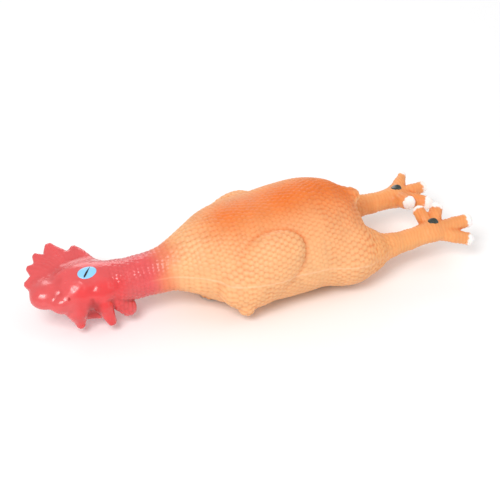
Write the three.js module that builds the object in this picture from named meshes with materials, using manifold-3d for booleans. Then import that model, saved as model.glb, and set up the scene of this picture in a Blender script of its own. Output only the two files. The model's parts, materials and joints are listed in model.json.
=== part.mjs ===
// Rubber chicken: a hollow, slush-moulded latex skin, a fibre filling and a press-in reed squeaker.
// The chicken lies on its belly, head towards -X and feet towards +X, its parting plane level.
// The head is moulded in profile: the left cheek faces up, the comb +Y and the wattles -Y.
// The real skin is one moulding. It is divided here where the latex flexes: neck, hips, ankles
// and the back. Millimetres, +Z up. The origin is under the middle of the bird, on the ground.

import * as THREE from "three";
import { mergeVertices } from "three/addons/utils/BufferGeometryUtils.js";
import Module from "manifold-3d";

// ---------------------------------------------------------------- driving dimensions
const WALL = 2.2; // latex skin
const GAP = 0.3; // between pieces that touch
const PLANE_Z = 38; // height of the parting plane above the surface the belly rests on
const BIG = 800; // side of the blocks that stand for half-spaces
const RING_SIDES = 22; // sides of a skin section
const NECK_SIDES = 18;
const LEG_SIDES = 14;
const BALL_SIDES = 16; // sides of a flex joint's ball
const TOE_SIDES = 10;
const SMALL_SIDES = 14; // sides of the small round pieces
const LIMB_PITCH = 12; // spacing of the sections along the neck and legs
const BELOW = -5; // a height under the whole bird, where cuts through the belly start
const GROUND = 0; // the belly is cut flat here

// Where the skin flexes: the ball's centre and radius, and how far its open rim stands back.
const FLEX = {
  neckBase: { at: [-90, 0, 38], ball: 23.2, reach: 13 },
  neckMiddle: { at: [-110, 0, 38], ball: 22.4, reach: 12 },
  neckTop: { at: [-130, 0, 38.5], ball: 22.2, reach: 12 },
};
const HIP = { x: 124, y: 36, z: 33.5, ball: 16, reach: 9, opening: 19 };
const ANKLE = { x: 158, y: 33.5, z: 33, ball: 10.3, reach: 7.5 };
const AIR_HOLE = 5; // radius of the air way through each ball
const AIR_HOLE_SIDES = 12;

// Torso sections: x, half-width, height above and depth below the parting plane.
const TORSO = [
  [-108, 22.4, 23, 21.5],
  [-92, 23, 24.5, 22.4],
  [-76, 26.5, 31, 23.5],
  [-58, 36, 40, 31],
  [-38, 50, 48, 39],
  [-14, 59, 53, 41],
  [12, 62, 55, 41],
  [40, 61.5, 56.5, 41],
  [66, 58.5, 55.5, 40],
  [86, 54, 51, 39],
  [102, 48, 44, 37],
  [113, 40, 34, 30],
  [121, 26, 22, 20],
];
const TORSO_PITCH = 14; // spacing of the drawn sections
const TAIL = { at: [105, 0, 77], size: [14, 11, 8] };

// The folded wing, drawn on the left side and mirrored for the right.
const WING = {
  shoulder: { at: [8, -48, 58], size: [38, 16, 18] },
  forearm: { at: [-2, -55, 38], size: [36, 13, 20] },
  elbow: { at: [-26, -52, 19], size: [12, 11, 13] },
};

// Neck from the torso to the back of the skull: x, y, z, radius.
const NECK = [
  [-80, 0, 38, 25],
  [-90, 0, 38, 23.2],
  [-110, 0, 38, 22.4],
  [-130, 0, 38.5, 22.2],
  [-146, 2, 39.5, 20.5],
  [-163, 2, 41, 15],
];

// Thigh, shank and ankle of the left leg: x, y, z, half-width, half-height.
const LEG = [
  [66, -30, 37, 30, 30],
  [84, -34, 36, 30, 30],
  [100, -37, 35, 26, 27],
  [112, -37.5, 34, 21.5, 21.5],
  [HIP.x, -HIP.y, HIP.z, 15.6, 15.6],
  [138, -35, 33, 11.6, 11.6],
  [ANKLE.x, -ANKLE.y, ANKLE.z, 10.2, 10.2],
  [170, -33, 33, 12, 10.4],
];

const THIGH_ROWS = 5; // the leg sections that belong to the torso's skin

// Head frame: the beak points to -X, the crown leans ROLL degrees from upright towards +Y.
const HEAD = { at: [-161, 2, 41], roll: 72 };
const SKULL = [29, 24, 20]; // along the beak, towards the crown, across the cheeks
const BEAK = { forward: 37, up: 0, cheek: -2, size: [20.9, 13, 11.5] };
// Comb outline in the head's profile: forward, towards the crown, and a tip's half-width.
const COMB = {
  thick: 7,
  bevel: 1.3,
  back: [
    [-18, 8],
    [-20, 26],
    [-13, 39],
  ],
  tips: [
    [-4, 48.5, 3.4],
    [19.5, 57, 4],
    [35, 48, 3.2],
    [44.5, 35.5, 3],
    [51.5, 18.5, 3.4],
  ],
  notches: [
    [2.5, 44],
    [25.5, 46.5],
    [37.5, 38],
    [44.5, 25],
    [46, 9],
  ],
};

const EYE = { forward: -2.5, up: 1, size: [9.2, 6.5, 2.6], inset: 1 };
const PUPIL = { size: [1.2, 6, 0.9], lean: 38 };

// Wattles and ear lobes: root and tip in the part's frame, half-thickness along X.
const WATTLES = {
  right: { root: [-173, -9, 34], tip: [-171.5, -16, 8], wide: 11, thick: 8 },
  left: { root: [-149, -13, 34], tip: [-142, -22, 8], wide: 9.5, thick: 8 },
};
const EARLOBE = { forward: -19, up: -17, cheek: 8, size: [9.5, 11, 8] };

// Feet: the sole faces up. The feet are moulded differently: the right leg is shorter.
// A toe has its angle from +X towards the other leg, reach from the palm, radius and rise.
const PALM = [16, 14.5, 9.5];
const FEET = {
  left: {
    sign: -1,
    shorter: 0,
    palm: [184, -33, 36.5],
    toes: [
      { angle: 103, reach: 28, radius: 6.4, rise: 30 },
      { angle: 57, reach: 28, radius: 6.5, rise: 27 },
      { angle: -4, reach: 35.1, radius: 7.4, rise: 6 },
      { angle: -28, reach: 37, radius: 7, rise: -14 },
    ],
  },
  right: {
    sign: 1,
    shorter: 8,
    palm: [177, 33, 36.5],
    toes: [
      { angle: 88, reach: 27, radius: 6.6, rise: 20 },
      { angle: 42, reach: 34, radius: 6.6, rise: 3 },
      { angle: -4, reach: 33, radius: 7, rise: 8 },
      { angle: -50, reach: 32, radius: 7.2, rise: 18 },
    ],
  },
};
const CLAW_LENGTH = 5;
const CLAW_DOME = 0.55; // height of a claw's dome as a share of its radius
const TOE_START = 4; // a toe starts this far from the palm's middle
const TOE_ROOT = 0.88; // radius of a toe at its root as a share of its tip's
const SOLE_PAD = { size: [6, 4.2, 1.6], sunk: 0.4 };

// The part of the back that gives when a hand squeezes it.
const BACK_PANEL = { x: 22, half: [60, 33], low: 48, sides: 36 };

// The squeaker, pressed into a collar in the belly, its axis along Z.
const SQUEAKER = {
  x: -34,
  recess: 14.5, // radius of the pocket around the outer flange
  recessDepth: 5,
  lip: 3, // latex held between the flanges
  hole: 10.3,
  neck: 10,
  flange: 13,
  flangeThick: 1.6,
  chamber: 8.2,
  bore: 6.4,
  top: 24,
  roof: 1.6,
  roofHole: 2,
};
const GRILLE = { thick: 1.4, hole: 0.9, ring: 3.4, count: 6 };
const REED = { length: 8, wide: 3, thick: 0.4, raised: 0.8 };
const BLOCK = { radius: 6.1, height: 9, slot: 0.9, slotDeep: 1.2 };
const COLLAR = { radius: 18, top: 11 };
const FILLING = { from: -52, to: 100, low: 4, clear: 1 };

// ---------------------------------------------------------------- tools
const wasm = await Module();
wasm.setup();

/** A closed three.js geometry as a manifold-3d solid. */
function solid(geometry) {
  const bare = geometry.index ? geometry.toNonIndexed() : geometry.clone();
  bare.deleteAttribute("normal");
  bare.deleteAttribute("uv");
  const merged = mergeVertices(bare, 1e-3);
  const mesh = new wasm.Mesh({
    numProp: 3,
    vertProperties: merged.attributes.position.array,
    triVerts: new Uint32Array(merged.index.array),
  });
  return new wasm.Manifold(mesh);
}

/** A manifold-3d solid as a three.js geometry. */
function geometryOf(body) {
  const mesh = body.getMesh();
  const corners = new Float32Array(mesh.numVert * 3);
  for (let i = 0; i < mesh.numVert; i += 1) {
    corners.set(mesh.vertProperties.subarray(i * mesh.numProp, i * mesh.numProp + 3), i * 3);
  }
  return new THREE.BufferGeometry()
    .setAttribute("position", new THREE.BufferAttribute(corners, 3))
    .setIndex(new THREE.BufferAttribute(mesh.triVerts, 1));
}

const vec = (p) => new THREE.Vector3(...p);
const mirrored = ([x, y, z]) => [x, -y, z];

/** The union of several solids. */
function join(...bodies) {
  return bodies.reduce((sum, body) => sum.add(body));
}

/** A sphere. */
function ball(at, radius, sides = BALL_SIDES) {
  return solid(new THREE.SphereGeometry(radius, sides, sides / 2).translate(...at));
}

/** The largest separate piece of a solid. */
function largest(body) {
  return body.decompose().sort((a, b) => b.volume() - a.volume())[0];
}

/** An ellipsoid, its size given along the columns of a turn, grown by `grow` on each side. */
function ellipsoid(at, size, { grow = 0, turn = new THREE.Matrix4(), sides = BALL_SIDES } = {}) {
  const shape = new THREE.SphereGeometry(1, sides, sides / 2)
    .scale(size[0] + grow, size[1] + grow, size[2] + grow)
    .applyMatrix4(turn)
    .translate(...at);
  return solid(shape);
}

/** A block between two corners. */
function block(low, high) {
  const size = high.map((h, i) => h - low[i]);
  const middle = high.map((h, i) => (h + low[i]) / 2);
  return solid(new THREE.BoxGeometry(...size).translate(...middle));
}

/** Everything on one side of the plane x = at. */
function sideOf(at, direction) {
  const far = at + direction * BIG;
  return block([Math.min(at, far), -BIG, -BIG], [Math.max(at, far), BIG, BIG]);
}

/** An upright cylinder. */
function post(x, y, radius, low, high, sides = RING_SIDES) {
  const shape = new THREE.CylinderGeometry(radius, radius, high - low, sides)
    .rotateX(Math.PI / 2)
    .translate(x, y, (low + high) / 2);
  return solid(shape);
}

/** A turned solid about Z from a closed profile of [radius, height] points. */
function turned(x, y, profile, sides = RING_SIDES) {
  const points = [...profile, profile[0]].map(([r, z]) => new THREE.Vector2(r, z));
  return solid(new THREE.LatheGeometry(points, sides).rotateX(Math.PI / 2).translate(x, y, 0));
}

/** A closed skin through rings of equal count, with a fan at each end. */
function loft(rings) {
  const sides = rings[0].length;
  const corners = rings.flat();
  const middle = (ring) => ring.reduce((sum, p) => sum.add(p), new THREE.Vector3()).divideScalar(sides);
  corners.push(middle(rings[0]), middle(rings.at(-1)));
  const [first, last] = [corners.length - 2, corners.length - 1];
  const faces = [];
  for (let k = 0; k < sides; k += 1) {
    const next = (k + 1) % sides;
    for (let i = 0; i < rings.length - 1; i += 1) {
      const [a, b] = [i * sides + k, i * sides + next];
      faces.push(a, b, b + sides, a, b + sides, a + sides);
    }
    const end = (rings.length - 1) * sides;
    faces.push(first, next, k, last, end + k, end + next);
  }
  const shape = new THREE.BufferGeometry().setFromPoints(corners).setIndex(faces);
  const body = solid(shape);
  return body.volume() < 0 ? solid(shape.setIndex(faces.reverse())) : body;
}

/** Smooth sections between the given ones: rows of numbers, spaced evenly along the first column. */
function between(rows, pitch) {
  const columns = rows[0].length;
  const [from, to] = [rows[0][0], rows.at(-1)[0]];
  const count = Math.max(2, Math.round(Math.abs(to - from) / pitch));
  const at = (x) => {
    const above = rows.findIndex((row) => row[0] > x);
    const k = above < 0 ? rows.length - 2 : Math.max(0, above - 1);
    const [p1, p2] = [rows[k], rows[k + 1]];
    const p0 = rows[Math.max(0, k - 1)];
    const p3 = rows[Math.min(rows.length - 1, k + 2)];
    const t = (x - p1[0]) / (p2[0] - p1[0]);
    const row = [x];
    for (let c = 1; c < columns; c += 1) {
      const span = p2[0] - p1[0];
      const m1 = ((p2[c] - p0[c]) / (p2[0] - p0[0])) * span;
      const m2 = ((p3[c] - p1[c]) / (p3[0] - p1[0])) * span;
      const [t2, t3] = [t * t, t * t * t];
      const fromStart = (2 * t3 - 3 * t2 + 1) * p1[c] + (t3 - 2 * t2 + t) * m1;
      const fromEnd = (3 * t2 - 2 * t3) * p2[c] + (t3 - t2) * m2;
      row.push(fromStart + fromEnd);
    }
    return row;
  };
  return Array.from({ length: count + 1 }, (_, i) => at(from + ((to - from) * i) / count));
}

/** A tube of sections [x, y, z, half-width, height above, depth below], grown by `grow`. */
function tube(rows, grow = 0, sides = RING_SIDES, pitch = TORSO_PITCH) {
  const rings = between(rows, pitch).map(([x, y, z, wide, up, down = up]) =>
    Array.from({ length: sides }, (_, k) => {
      const angle = (2 * Math.PI * k) / sides;
      const tall = Math.sin(angle) > 0 ? up : down;
      return new THREE.Vector3(
        x,
        y + (wide + grow) * Math.cos(angle),
        z + (tall + grow) * Math.sin(angle),
      );
    }),
  );
  return loft(rings);
}

/** A tapered round bar between two points; its far end rises to a dome of `dome` radii. */
function bar(from, to, startRadius, endRadius, { dome = 0, sides = TOE_SIDES } = {}) {
  const [a, b] = [vec(from), vec(to)];
  const length = a.distanceTo(b);
  const profile = [new THREE.Vector2(0, 0), new THREE.Vector2(startRadius, 0)];
  const steps = dome ? 3 : 1;
  for (let i = 0; i < steps; i += 1) {
    const angle = (Math.PI / 2) * (i / steps);
    const height = length - endRadius * dome * (1 - Math.sin(angle));
    profile.push(new THREE.Vector2(endRadius * Math.cos(angle), height));
  }
  profile.push(new THREE.Vector2(0, length));
  const along = b.clone().sub(a).normalize();
  const turn = new THREE.Quaternion().setFromUnitVectors(new THREE.Vector3(0, 1, 0), along);
  const shape = new THREE.LatheGeometry(profile, sides).applyQuaternion(turn).translate(...from);
  const body = solid(shape);
  return body.volume() < 0 ? solid(shape.setIndex([...shape.index.array].reverse())) : body;
}

// ---------------------------------------------------------------- materials
const finish = (color, roughness = 0.45, metalness = 0) =>
  new THREE.MeshStandardMaterial({ color, roughness, metalness });
const FINISH = {
  skin: finish("#f9b077"),
  neck: finish("#f5835c"),
  head: finish("#ee5359", 0.35),
  leg: finish("#f7a05a"),
  eye: finish("#8fd3f5", 0.4),
  pupil: finish("#12181c", 0.4),
  claw: finish("#f7f1ee", 0.4),
  pad: finish("#3c5340", 0.35),
  filling: finish("#f4f2ec", 0.95),
  squeaker: finish("#f2efe6", 0.4),
  reed: finish("#c9a24a", 0.3, 0.9),
};

const chicken = new THREE.Group();

/** Adds a solid to the chicken under a node name. */
function add(name, body, material) {
  const mesh = new THREE.Mesh(geometryOf(body), material);
  mesh.name = name;
  chicken.add(mesh);
}

// ---------------------------------------------------------------- head frame
const rollAngle = THREE.MathUtils.degToRad(HEAD.roll);
const forward = new THREE.Vector3(-1, 0, 0);
const crown = new THREE.Vector3(0, Math.sin(rollAngle), Math.cos(rollAngle));
const rightCheek = new THREE.Vector3().crossVectors(forward, crown);
const headTurn = new THREE.Matrix4().makeBasis(forward, crown, rightCheek);

/** A point in the head's frame: forward to the beak, up to the crown, out of the left cheek. */
function inHead(f, u, c = 0) {
  const point = vec(HEAD.at).addScaledVector(forward, f).addScaledVector(crown, u);
  return point.addScaledVector(rightCheek, -c).toArray();
}

// ---------------------------------------------------------------- whole outer shapes, before they are divided
const torsoRows = TORSO.map(([x, wide, up, down]) => [x, 0, PLANE_Z, wide, up, down]);
const neckRows = NECK.map(([x, y, z, r]) => [x, y, z, r, r]).reverse();

/** How far a point beyond the hip is drawn in on a shorter leg. */
function drawnIn(x, shorter) {
  return x - shorter * Math.min(1, Math.max(0, (x - HIP.x) / (ANKLE.x - HIP.x)));
}
const legRows = Object.fromEntries(
  Object.entries(FEET).map(([side, { sign, shorter }]) => [
    side,
    LEG.map(([x, y, ...rest]) => [drawnIn(x, shorter), -sign * y, ...rest]),
  ]),
);
const wings = [WING.shoulder, WING.forearm, WING.elbow];

/** Torso, wings, tail, thighs and the start of the neck, grown by `grow`. */
function trunk(grow) {
  const parts = [tube(torsoRows, grow)];
  if (grow >= 0) {
    for (const { at, size } of wings) {
      parts.push(ellipsoid(at, size, { grow }), ellipsoid(mirrored(at), size, { grow }));
    }
    parts.push(ellipsoid(TAIL.at, TAIL.size, { grow }));
  }
  for (const rows of Object.values(legRows)) {
    parts.push(tube(rows.slice(0, THIGH_ROWS), grow, BALL_SIDES));
  }
  return join(...parts);
}

/** The skull with the end of the neck, grown by `grow`. */
function skull(grow) {
  return join(
    ellipsoid(HEAD.at, SKULL, { grow, turn: headTurn }),
    tube(neckRows.filter(([x]) => x <= FLEX.neckTop.at[0]), grow, NECK_SIDES),
  );
}

/** A round bar along X between two places. */
function barAlongX(y, z, radius, from, to, sides) {
  const shape = new THREE.CylinderGeometry(radius, radius, Math.abs(to - from), sides)
    .rotateZ(Math.PI / 2)
    .translate((from + to) / 2, y, z);
  return solid(shape);
}

/** The air way from the middle of a flex ball out through its inner end. */
function airWay([x, y, z], radius, way) {
  return barAlongX(y, z, AIR_HOLE, x, x + way * (radius + AIR_HOLE), AIR_HOLE_SIDES);
}

// ---------------------------------------------------------------- torso

/** The outline of the soft stretch of the back, as an upright column grown by `grow`. */
function panelShape(grow) {
  const shape = new THREE.CylinderGeometry(1, 1, BIG, BACK_PANEL.sides)
    .rotateX(Math.PI / 2)
    .scale(BACK_PANEL.half[0] + grow, BACK_PANEL.half[1] + grow, 1)
    .translate(BACK_PANEL.x, 0, BACK_PANEL.low + BIG / 2);
  return solid(shape);
}

const neckOpening = FLEX.neckBase.at[0] + FLEX.neckBase.reach;
const hipOpening = HIP.x - HIP.reach;
const cavity = trunk(-WALL).intersect(block([-BIG, -BIG, GROUND + WALL], [BIG, BIG, BIG]));
let trunkSkin = trunk(0)
  .subtract(cavity)
  .add(post(SQUEAKER.x, 0, COLLAR.radius, BELOW, COLLAR.top))
  .intersect(trunk(0))
  .intersect(sideOf(neckOpening, 1));
for (const side of [-1, 1]) {
  const opening = barAlongX(side * HIP.y, HIP.z, HIP.opening, hipOpening, HIP.x + HIP.ball, RING_SIDES);
  trunkSkin = trunkSkin.subtract(opening);
}
trunkSkin = trunkSkin.intersect(block([-BIG, -BIG, GROUND], [BIG, BIG, BIG]));

const backPanel = trunkSkin.intersect(panelShape(0));
const lipTop = SQUEAKER.recessDepth + SQUEAKER.lip;
const torsoSkin = trunkSkin
  .subtract(panelShape(GAP))
  .subtract(post(SQUEAKER.x, 0, SQUEAKER.recess, BELOW, SQUEAKER.recessDepth))
  .subtract(post(SQUEAKER.x, 0, SQUEAKER.hole, BELOW, SQUEAKER.top))
  .subtract(post(SQUEAKER.x, 0, SQUEAKER.recess, lipTop, SQUEAKER.top));
add("torso_skin", torsoSkin, FINISH.skin);
add("back_panel_skin", backPanel, FINISH.skin);

// Fibre filling: the inside of the torso, clear of the skin, the squeaker and the flex balls.
const filling = tube(torsoRows, -WALL - FILLING.clear)
  .intersect(sideOf(FILLING.from, 1))
  .intersect(sideOf(FILLING.to, -1))
  .intersect(block([-BIG, -BIG, FILLING.low], [BIG, BIG, BIG]))
  .subtract(post(SQUEAKER.x, 0, COLLAR.radius + GAP, BELOW, SQUEAKER.top + FILLING.clear));
add("torso_filling", filling, FINISH.filling);

// ---------------------------------------------------------------- neck and head
const neckOuter = tube(neckRows, 0, NECK_SIDES);
const neckInner = tube(neckRows, -WALL, NECK_SIDES);

/** A neck section from one flex joint to the next one's rim. */
function neckSection(joint, next) {
  const [x] = joint.at;
  const rim = next.at[0] + next.reach;
  const ahead = sideOf(x, -1);
  const outer = neckOuter.intersect(ahead).add(ball(joint.at, joint.ball));
  const inner = neckInner.intersect(sideOf(x + 1, -1)).add(ball(joint.at, joint.ball - WALL));
  return outer
    .subtract(inner)
    .subtract(airWay(joint.at, joint.ball, 1))
    .intersect(sideOf(rim, 1));
}
add("neck_base_skin", neckSection(FLEX.neckBase, FLEX.neckMiddle), FINISH.skin);
add("neck_middle_skin", neckSection(FLEX.neckMiddle, FLEX.neckTop), FINISH.neck);

const { at: napeAt, ball: napeBall } = FLEX.neckTop;
const headOuter = skull(0).add(ball(napeAt, napeBall));
const headInner = skull(-WALL).add(ball(napeAt, napeBall - WALL));
const headSkin = headOuter.subtract(headInner).subtract(airWay(napeAt, napeBall, 1));
add("head_skin", headSkin, FINISH.head);

const clearOfHead = skull(GAP).add(ball(napeAt, napeBall + GAP));

/** The whole beak, grown by `grow`. */
function beakShape(grow) {
  const at = inHead(BEAK.forward, BEAK.up, BEAK.cheek);
  return ellipsoid(at, BEAK.size, { grow, turn: headTurn });
}
add("beak", beakShape(0).subtract(clearOfHead), FINISH.head);

/** Comb outline: blunt tips with notches between them. */
function combOutline() {
  const corners = [[0, 0], ...COMB.back];
  COMB.tips.forEach(([f, u, half], i) => {
    const out = new THREE.Vector2(f, u).normalize();
    const side = new THREE.Vector2(out.y, -out.x).multiplyScalar(half);
    const tip = new THREE.Vector2(f, u);
    const shoulder = tip.clone().addScaledVector(out, -half);
    corners.push(shoulder.clone().sub(side).toArray());
    corners.push(tip.toArray());
    corners.push(shoulder.clone().add(side).toArray());
    corners.push(COMB.notches[i]);
  });
  return new THREE.Shape(corners.map(([f, u]) => new THREE.Vector2(f, u)));
}
const combDepth = COMB.thick - 2 * COMB.bevel;
const combShape = new THREE.ExtrudeGeometry(combOutline(), {
  depth: combDepth,
  bevelThickness: COMB.bevel,
  bevelSize: COMB.bevel,
  bevelOffset: -COMB.bevel,
  bevelSegments: 1,
}).translate(0, 0, -combDepth / 2);
const combTurn = headTurn.clone().setPosition(...HEAD.at);
const comb = solid(combShape.applyMatrix4(combTurn)).subtract(clearOfHead).subtract(beakShape(GAP));
add("comb", largest(comb), FINISH.head);

/** A hanging flap of latex: an ellipsoid along root to tip, wide along X, grown by `grow`. */
function flap({ root, tip, wide, thick }, grow = 0) {
  const [a, b] = [vec(root), vec(tip)];
  const along = b.clone().sub(a);
  const half = along.length() / 2;
  along.normalize();
  const across = new THREE.Vector3(1, 0, 0).addScaledVector(along, -along.x).normalize();
  const out = new THREE.Vector3().crossVectors(across, along);
  const turn = new THREE.Matrix4().makeBasis(across, along, out);
  const middle = a.add(b).multiplyScalar(0.5).toArray();
  return ellipsoid(middle, [wide, half, thick], { grow, turn, sides: SMALL_SIDES });
}
const wattleRight = flap(WATTLES.right).subtract(clearOfHead).subtract(beakShape(GAP));
const wattleLeft = flap(WATTLES.left).subtract(clearOfHead).subtract(flap(WATTLES.right, GAP));
add("wattle_right", wattleRight, FINISH.head);
add("wattle_left", wattleLeft, FINISH.head);

/** The eye's ellipsoid on one cheek, grown by `grow`. */
function eyeShape(sign, grow) {
  const at = inHead(EYE.forward, EYE.up, sign * (SKULL[2] - EYE.inset));
  return ellipsoid(at, EYE.size, { grow, turn: headTurn, sides: SMALL_SIDES });
}
const slitLean = new THREE.Matrix4().makeRotationZ(THREE.MathUtils.degToRad(PUPIL.lean));
const slitTurn = headTurn.clone().multiply(slitLean);
for (const [side, sign] of [["left", 1], ["right", -1]]) {
  const lobeAt = inHead(EARLOBE.forward, EARLOBE.up, sign * EARLOBE.cheek);
  const lobe = ellipsoid(lobeAt, EARLOBE.size, { turn: headTurn })
    .subtract(clearOfHead)
    .subtract(flap(WATTLES.left, GAP));
  add(`earlobe_${side}`, largest(lobe), FINISH.head);
  add(`eye_${side}`, eyeShape(sign, 0).subtract(clearOfHead), FINISH.eye);
  const pupilAt = inHead(EYE.forward, EYE.up, sign * (SKULL[2] - EYE.inset + EYE.size[2]));
  const pupil = ellipsoid(pupilAt, PUPIL.size, { turn: slitTurn, sides: SMALL_SIDES });
  add(`pupil_${side}`, largest(pupil.subtract(eyeShape(sign, GAP))), FINISH.pupil);
}

// ---------------------------------------------------------------- legs and feet
/** The hollow leg from the hip ball to the ankle's rim. */
function legSkin(rows, hipAt, ankleX) {
  const hipBall = (grow) => ball(hipAt, HIP.ball + grow, LEG_SIDES);
  const shank = (grow) => tube(rows, grow, LEG_SIDES, LIMB_PITCH).intersect(sideOf(HIP.x + grow, 1));
  const outer = shank(0).add(hipBall(0));
  const inner = shank(-WALL).add(hipBall(-WALL));
  return outer
    .subtract(inner)
    .subtract(airWay(hipAt, HIP.ball, -1))
    .intersect(sideOf(ankleX - ANKLE.reach, -1));
}

/** Unit vector along a toe. */
function toeWay({ angle, rise }, sign) {
  const [turn, tilt] = [angle, rise].map(THREE.MathUtils.degToRad);
  const level = Math.cos(tilt);
  return new THREE.Vector3(Math.cos(turn) * level, -sign * Math.sin(turn) * level, Math.sin(tilt));
}

for (const [side, { sign, shorter, palm, toes }] of Object.entries(FEET)) {
  const hipAt = [HIP.x, sign * HIP.y, HIP.z];
  const ankleX = ANKLE.x - shorter;
  const ankleAt = [ankleX, sign * ANKLE.y, ANKLE.z];
  const rows = legRows[side];
  add(`leg_${side}_skin`, legSkin(rows, hipAt, ankleX), FINISH.leg);

  const palmShape = (grow) => ellipsoid(palm, PALM, { grow, sides: SMALL_SIDES });
  const shank = tube(rows, 0, LEG_SIDES, LIMB_PITCH).intersect(sideOf(ankleX, 1));
  let foot = join(shank, ball(ankleAt, ANKLE.ball, LEG_SIDES), palmShape(0));
  const claws = [];
  for (const toe of toes) {
    const way = toeWay(toe, sign);
    const at = (distance) => vec(palm).addScaledVector(way, distance).toArray();
    const cut = toe.reach - CLAW_LENGTH;
    foot = foot.add(bar(at(TOE_START), at(cut), toe.radius * TOE_ROOT, toe.radius));
    claws.push(bar(at(cut + GAP), at(toe.reach), toe.radius, toe.radius, { dome: CLAW_DOME }));
  }
  foot = foot.subtract(join(...claws));
  add(`foot_${side}_skin`, foot, FINISH.leg);
  claws.forEach((claw, i) => add(`claw_${side}_${i + 1}`, claw, FINISH.claw));

  const padAt = [palm[0], palm[1], palm[2] + PALM[2] - SOLE_PAD.sunk];
  const pad = ellipsoid(padAt, SOLE_PAD.size).subtract(join(palmShape(GAP), foot));
  add(`sole_pad_${side}`, largest(pad), FINISH.pad);
}

// ---------------------------------------------------------------- squeaker
const cup = SQUEAKER;
const outerFlangeLow = cup.recessDepth - GAP - cup.flangeThick;
const innerFlangeLow = lipTop + GAP;
const innerFlangeTop = innerFlangeLow + cup.flangeThick;
const squeakerBody = turned(cup.x, 0, [
  [cup.bore, outerFlangeLow],
  [cup.flange, outerFlangeLow],
  [cup.flange, cup.recessDepth - GAP],
  [cup.neck, cup.recessDepth - GAP],
  [cup.neck, innerFlangeLow],
  [cup.flange, innerFlangeLow],
  [cup.flange, innerFlangeTop],
  [cup.chamber, innerFlangeTop],
  [cup.chamber, cup.top],
  [cup.roofHole, cup.top],
  [cup.roofHole, cup.top - cup.roof],
  [cup.bore, cup.top - cup.roof],
]);
add("squeaker_body", squeakerBody, FINISH.squeaker);

let grille = post(cup.x, 0, cup.bore - GAP, outerFlangeLow, outerFlangeLow + GRILLE.thick);
for (let i = 0; i < GRILLE.count; i += 1) {
  const angle = (2 * Math.PI * i) / GRILLE.count;
  const [x, y] = [cup.x + GRILLE.ring * Math.cos(angle), GRILLE.ring * Math.sin(angle)];
  grille = grille.subtract(post(x, y, GRILLE.hole, GROUND, cup.top, TOE_SIDES));
}
add("squeaker_grille", grille, FINISH.squeaker);

// The reed block is a half-round plug with an air slot. The reed lies over the slot, fixed at its top.
const blockLow = outerFlangeLow + GRILLE.thick + GAP;
const slot = block(
  [cup.x - BLOCK.slotDeep, -BLOCK.slot, BELOW],
  [cup.x + BLOCK.slotDeep, BLOCK.slot, blockLow + REED.length - REED.raised],
);
const reedBlock = post(cup.x, 0, BLOCK.radius, blockLow, blockLow + BLOCK.height)
  .intersect(sideOf(cup.x, -1))
  .subtract(slot);
add("reed_block", reedBlock, FINISH.squeaker);

const reedX = cup.x + GAP + REED.thick / 2;
const reedLow = blockLow + REED.raised;
add(
  "reed",
  block(
    [reedX - REED.thick / 2, -REED.wide / 2, reedLow],
    [reedX + REED.thick / 2, REED.wide / 2, reedLow + REED.length],
  ),
  FINISH.reed,
);

export default chicken;
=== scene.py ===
"""Dresses the rubber chicken: one moulded latex skin over its flex joints, with paint and squeaker.

The skin is an implicit surface. Each part of the bird is a rounded solid, the solids are joined with soft
fillets, and the surface of the result is displaced by moulded bumps, wrinkles and the mould's parting line.
It is then divided at the flex joints.
Lengths in this file are millimetres unless a name ends in _m.
"""

import json
import logging
import math
from dataclasses import dataclass, field
from enum import Enum
from typing import Callable, Sequence

import bmesh
import bpy
import numpy as np
import openvdb
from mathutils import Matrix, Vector

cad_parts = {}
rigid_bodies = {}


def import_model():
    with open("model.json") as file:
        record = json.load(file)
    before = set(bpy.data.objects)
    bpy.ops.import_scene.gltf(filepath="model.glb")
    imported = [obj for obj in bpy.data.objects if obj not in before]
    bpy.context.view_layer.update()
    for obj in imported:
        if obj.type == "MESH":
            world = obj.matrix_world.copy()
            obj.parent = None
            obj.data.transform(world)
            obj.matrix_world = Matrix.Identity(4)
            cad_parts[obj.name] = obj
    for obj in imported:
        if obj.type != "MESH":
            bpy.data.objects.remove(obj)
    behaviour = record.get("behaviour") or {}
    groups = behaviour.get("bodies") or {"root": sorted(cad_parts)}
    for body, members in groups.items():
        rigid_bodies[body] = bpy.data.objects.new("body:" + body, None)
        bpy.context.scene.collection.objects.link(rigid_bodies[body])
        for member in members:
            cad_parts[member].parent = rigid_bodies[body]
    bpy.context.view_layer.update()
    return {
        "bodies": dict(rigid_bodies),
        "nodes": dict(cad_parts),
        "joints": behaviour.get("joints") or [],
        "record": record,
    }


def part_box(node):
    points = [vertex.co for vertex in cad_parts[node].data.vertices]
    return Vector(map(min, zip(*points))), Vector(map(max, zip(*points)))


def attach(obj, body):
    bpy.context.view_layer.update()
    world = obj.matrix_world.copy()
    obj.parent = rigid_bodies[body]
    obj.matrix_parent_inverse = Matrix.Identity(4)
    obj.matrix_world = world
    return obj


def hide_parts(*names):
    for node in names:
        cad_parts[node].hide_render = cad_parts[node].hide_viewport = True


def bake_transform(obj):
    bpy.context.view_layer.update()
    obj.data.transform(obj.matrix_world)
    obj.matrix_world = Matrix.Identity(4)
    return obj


LOG = logging.getLogger("chicken")
MM = 0.001
Array = np.ndarray
Colour = tuple[float, float, float]


# ---------------------------------------------------------------------------- small mathematics
def smoothstep(low: float, high: float, value: Array) -> Array:
    """A smooth rise from 0 at low to 1 at high.

    Args:
        low: where the rise starts.
        high: where it ends; it may be below low for a fall.
        value: the positions.

    Returns:
        The height of the rise at each position.
    """
    t = np.clip((value - low) / (high - low), 0.0, 1.0)
    return t * t * (3.0 - 2.0 * t)


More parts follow.
